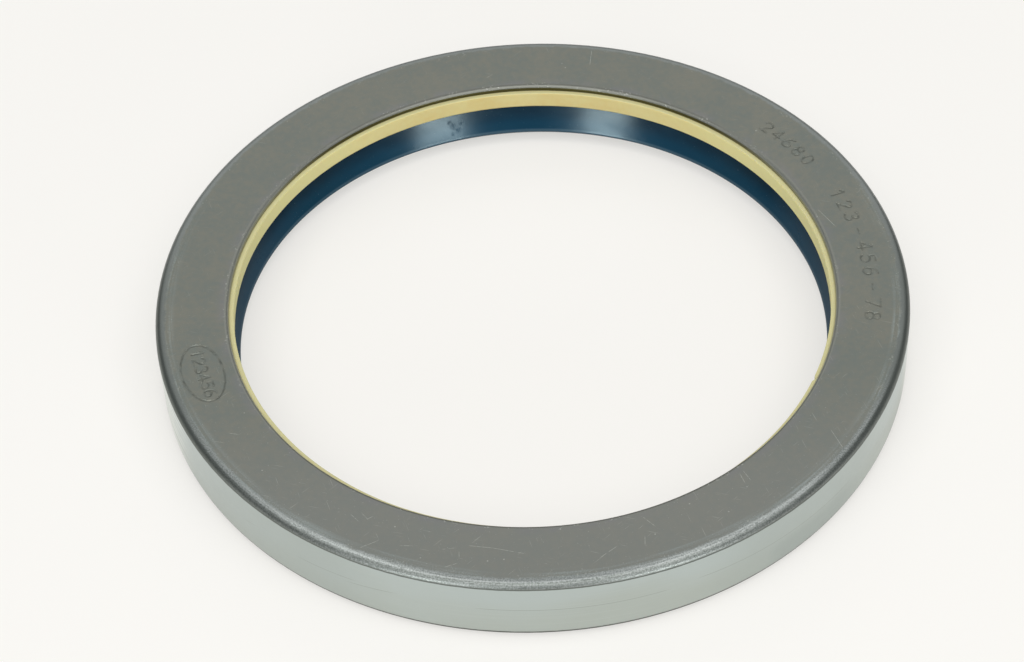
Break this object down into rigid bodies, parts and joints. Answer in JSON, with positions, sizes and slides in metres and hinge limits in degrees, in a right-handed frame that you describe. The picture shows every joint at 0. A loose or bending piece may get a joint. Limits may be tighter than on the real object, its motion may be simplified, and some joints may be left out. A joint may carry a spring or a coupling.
{
  "type": "shaft seal",
  "caption": "Rotary shaft seal ring: pressed steel case with a turned-in edge, a scraper ring inside its face and a rubber lip with a garter spring.",
  "frame": {"origin": "centre of the ring on the plane of its oil side, which it stands on", "axes": "+Z along the shaft, from the oil side to the air side; X and Y are any two directions across the ring"},
  "size_m": [0.15, 0.15, 0.015],
  "materials": {
    "case_steel": "satin, ground on the outer wall",
    "scraper_polyurethane": "satin",
    "insert_steel": "satin",
    "lip_rubber": "glossy moulded rubber",
    "spring_steel": "bright wire"
  },
  "bodies": {
    "root": {"outer_case": "case_steel", "scraper_ring": "scraper_polyurethane", "insert": "insert_steel", "sealing_lip": "lip_rubber", "garter_spring": "spring_steel"}
  },
  "joints": []
}
